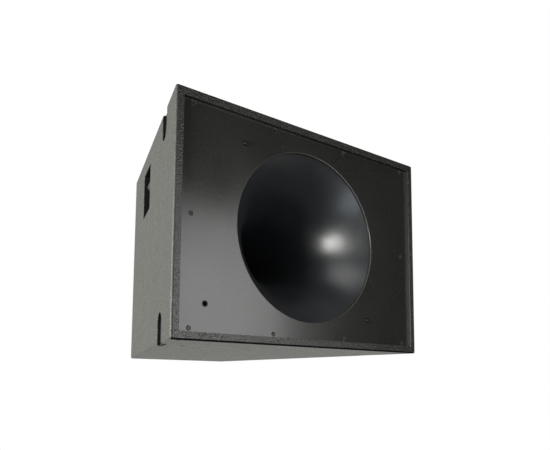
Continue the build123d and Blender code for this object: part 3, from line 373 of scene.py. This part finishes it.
RECESSES = []
for hole in rigging_holes:
    spot = Vector(hole["pos_m"])
    RECESSES.append(((OUTWARD.dot(spot), ALONG.dot(spot), spot.z), POCKET_HALF))
side_face = OUTWARD.dot(Vector(rigging_holes[0]["pos_m"])) + SIDE_DEPTH
handle_spot = (side_face - HANDLE_LIP - HANDLE_HALF[0], ALONG.dot(middle_of("handle_grip_right")),
               middle_of("handle_cup_right").z)
RECESSES.append((handle_spot, HANDLE_HALF))

paint = textured_paint()
plywood = birch_plywood()
black_steel = plain("black_steel", ((0.010, 0.010, 0.011), (0.024, 0.024, 0.025)), (0.32, 0.44), 900, 0.0002,
                    wear=(0.25, 0.25, 0.25), Metallic=0.75)
zinc_steel = plain("zinc_steel", ((0.52, 0.52, 0.50), (0.66, 0.66, 0.63)), (0.22, 0.34), 700, 0.0001,
                   Metallic=1.0)
black_plastic = plain("black_plastic", ((0.014, 0.014, 0.015), (0.024, 0.024, 0.025)), (0.42, 0.52), 1100,
                      0.0003, wear=(0.06, 0.06, 0.06))
# handle cups: their own black plastic, made darker and almost without specular as painted shade inside the
# handle openings
recess_plastic_painted_shade = plain("recess_plastic_painted_shade", ((0.004, 0.004, 0.004), (0.009, 0.009, 0.009)), (0.72, 0.84), 700,
                       0.0006, Specular_IOR_Level=0.08)
grip_rubber = plain("grip_rubber", ((0.012, 0.012, 0.012), (0.022, 0.022, 0.022)), (0.62, 0.74), 900, 0.0003)
foam = plain("foam", ((0.02, 0.02, 0.022), (0.05, 0.05, 0.054)), (0.9, 0.98), 500, 0.002)
cast_frame = plain("cast_frame", ((0.04, 0.04, 0.042), (0.075, 0.075, 0.078)), (0.45, 0.6), 600, 0.0006,
                   wear=(0.4, 0.4, 0.4), Metallic=0.8)
ferrite = plain("ferrite", ((0.03, 0.03, 0.033), (0.06, 0.06, 0.063)), (0.5, 0.66), 800, 0.0003)
copper = plain("copper", ((0.48, 0.19, 0.08), (0.66, 0.30, 0.14)), (0.24, 0.34), 900, 0.0002, Metallic=1.0)
circuit_board = plain("circuit_board", ((0.012, 0.07, 0.03), (0.02, 0.11, 0.05)), (0.28, 0.4), 300, 0.0001)
capacitor_film = plain("capacitor_film", ((0.36, 0.22, 0.04), (0.5, 0.34, 0.08)), (0.2, 0.3), 400, 0.0002,
                       Coat_Weight=0.4)
lead_sheath = plain("lead_sheath", ((0.014, 0.014, 0.014), (0.028, 0.028, 0.028)), (0.45, 0.6), 900, 0.0002)
cone_paper = woven("cone_paper", (0.022, 0.022, 0.024), (0.06, 0.06, 0.06), 380)
doped_cloth = woven("doped_cloth", (0.06, 0.04, 0.02), (0.22, 0.15, 0.08), 300)

SURFACES = {
    "cabinet_paint": paint, "plywood": plywood, "plate_paint": plate_paint(), "black_steel": black_steel,
    "zinc_steel": zinc_steel, "black_plastic": black_plastic, "grip_rubber": grip_rubber, "foam": foam,
    "horn_gloss": horn_gloss(), "cast_frame": cast_frame, "ferrite": ferrite, "cone_paper": cone_paper,
    "cloth": doped_cloth, "copper": copper, "dish_steel": black_plastic, "board": circuit_board,
    "capacitor_film": capacitor_film, "lead_sheath": lead_sheath,
}
for subpart in frame["record"]["subparts"]:
    for slot in nodes[subpart["node"]].material_slots:
        slot.material = SURFACES[subpart["material_slot"]]
# painted shade: the handle cups take the darkened recess plastic
for side in ("left", "right"):
    for slot in nodes[f"handle_cup_{side}"].material_slots:
        slot.material = recess_plastic_painted_shade


# ---- driver's soft rings: swept sheets between the basket and the moving cone --------------
def soft_ring(node, profile, sectors, finish):
    """Sweeps a profile of (y, radius) round the driver's axis as sectors, in place of a node."""
    low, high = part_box(node)
    axis = Vector(((low[0] + high[0]) / 2, 0.0, (low[2] + high[2]) / 2))
    loop = profile + [(y + SHEET, radius) for y, radius in reversed(profile)]

    def spot(y, radius, step):
        turn = 2 * math.pi * step / (sectors * RING_STEPS)
        return axis + Vector((radius * math.cos(turn), y, radius * math.sin(turn)))

    for sector in range(sectors):
        form = bmesh.new()
        first = sector * RING_STEPS
        rows = [[form.verts.new(spot(y, radius, first + step)) for y, radius in loop]
                for step in range(RING_STEPS + 1)]
        for row, following in zip(rows, rows[1:]):
            for index in range(len(loop)):
                after = (index + 1) % len(loop)
                form.faces.new((row[index], following[index], following[after], row[after]))
        bmesh.ops.recalc_face_normals(form, faces=form.faces)
        for face in form.faces:
            face.smooth = True
        mesh = bpy.data.meshes.new(f"{node}_{sector:02d}")
        form.to_mesh(mesh)
        form.free()
        mesh.materials.append(finish)
        piece = bpy.data.objects.new(mesh.name, mesh)
        scene.collection.objects.link(piece)
        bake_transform(piece)
        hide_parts(node)


def surround_profile():
    """Half roll between two flat flanges."""
    low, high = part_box("cone_surround")
    flange = high[1] - SHEET
    inner, roll_in, roll_out = SURROUND_RADII
    middle = (roll_in + roll_out) / 2
    turns = [math.pi * step / ROLL_STEPS for step in range(ROLL_STEPS + 1)]
    roll = [(flange - (flange - low[1]) * math.sin(turn), middle - (roll_out - roll_in) / 2 * math.cos(turn))
            for turn in turns]
    return [(flange, inner), *roll, (flange, (high[0] - low[0]) / 2)]


def spider_profile():
    """Corrugated disc with a flat outer flange."""
    low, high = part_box("spider")
    wave = (high[1] - low[1] - SHEET) / 2
    middle = low[1] + wave
    inner, flange = SPIDER_RADII
    steps = SPIDER_HALF_WAVES * HALF_WAVE_STEPS
    waves = [(middle - wave * math.cos(math.pi * step / HALF_WAVE_STEPS),
              inner + (flange - inner) * (step + 1) / (steps + 1)) for step in range(steps)]
    return [(middle, inner), *waves, (middle, flange), (middle, (high[0] - low[0]) / 2)]


soft_ring("cone_surround", surround_profile(), SURROUND_SECTORS, doped_cloth)
soft_ring("spider", spider_profile(), SPIDER_SECTORS, doped_cloth)


# ---- stage, light and camera ---------------------------------------------------------
def rectangle(name, half, place):
    mesh = bpy.data.meshes.new(name)
    corners = [(x * half, y * half, 0.0) for x, y in ((-1, -1), (1, -1), (1, 1), (-1, 1))]
    mesh.from_pydata(corners, [], [(0, 1, 2, 3)])
    made = bpy.data.objects.new(name, mesh)
    made.location = place
    scene.collection.objects.link(made)
    return made


floor_place = Vector((0, 0, -FLOOR_DROP))
floor = rectangle("floor", FLOOR_HALF, floor_place)
floor_paper = plain("floor_paper", ((0.80, 0.80, 0.79), (0.84, 0.84, 0.83)), (0.8, 0.9), 60, 0.0002,
                    Emission_Color=(1.0, 1.0, 0.99, 1.0), Emission_Strength=0.45)
floor.data.materials.append(floor_paper)
floor.visible_diffuse = False
floor.visible_glossy = False
floor.visible_shadow = False

for name, (place, aim, size, power, colour) in LAMPS.items():
    light = bpy.data.lights.new(name, "AREA")
    light.shape = "RECTANGLE"
    light.size, light.size_y = size
    light.energy = power
    light.color = colour
    lamp = bpy.data.objects.new(name, light)
    lamp.location = place
    lamp.rotation_euler = (Vector(place) - Vector(aim)).to_track_quat("Z", "Y").to_euler()
    lamp.visible_camera = False
    scene.collection.objects.link(lamp)

world = bpy.data.worlds.new("world")
world.use_nodes = True
sky = world.node_tree
background = sky.nodes["Background"]
toward = sky.nodes.new("ShaderNodeVectorMath")
toward.operation = "DOT_PRODUCT"
toward.inputs[1].default_value = BACKDROP_WAY
sky.links.new(sky.nodes.new("ShaderNodeTexCoord").outputs["Generated"], toward.inputs[0])
rise = sky.nodes.new("ShaderNodeMapRange")
rise.interpolation_type = "SMOOTHSTEP"
for socket, value in zip(("From Min", "From Max", "To Min", "To Max"), BACKDROP_RISE):
    rise.inputs[socket].default_value = value
sky.links.new(toward.outputs["Value"], rise.inputs["Value"])
sky.links.new(rise.outputs["Result"], background.inputs["Strength"])
background.inputs["Color"].default_value = BACKDROP_COLOUR
seen = sky.nodes.new("ShaderNodeBackground")
seen.inputs["Color"].default_value = (1.0, 1.0, 1.0, 1.0)
path = sky.nodes.new("ShaderNodeLightPath")
either = sky.nodes.new("ShaderNodeMixShader")
sky.links.new(path.outputs["Is Camera Ray"], either.inputs["Fac"])
sky.links.new(background.outputs["Background"], either.inputs[1])
sky.links.new(seen.outputs["Background"], either.inputs[2])
sky.links.new(either.outputs["Shader"], sky.nodes["World Output"].inputs["Surface"])
scene.world = world

camera_data = bpy.data.cameras.new("camera")
camera_data.lens = CAMERA_LENS
camera_data.shift_x, camera_data.shift_y = CAMERA_SHIFT
camera = bpy.data.objects.new("camera", camera_data)
turn = Matrix.Rotation(-CAMERA_YAW, 4, "Z") @ Matrix.Rotation(math.pi / 2 + CAMERA_PITCH, 4, "X")
camera.matrix_world = Matrix.Translation(CAMERA_PLACE) @ turn @ Matrix.Rotation(CAMERA_ROLL, 4, "Z")
scene.collection.objects.link(camera)
scene.camera = camera
scene.view_settings.view_transform = "Standard"
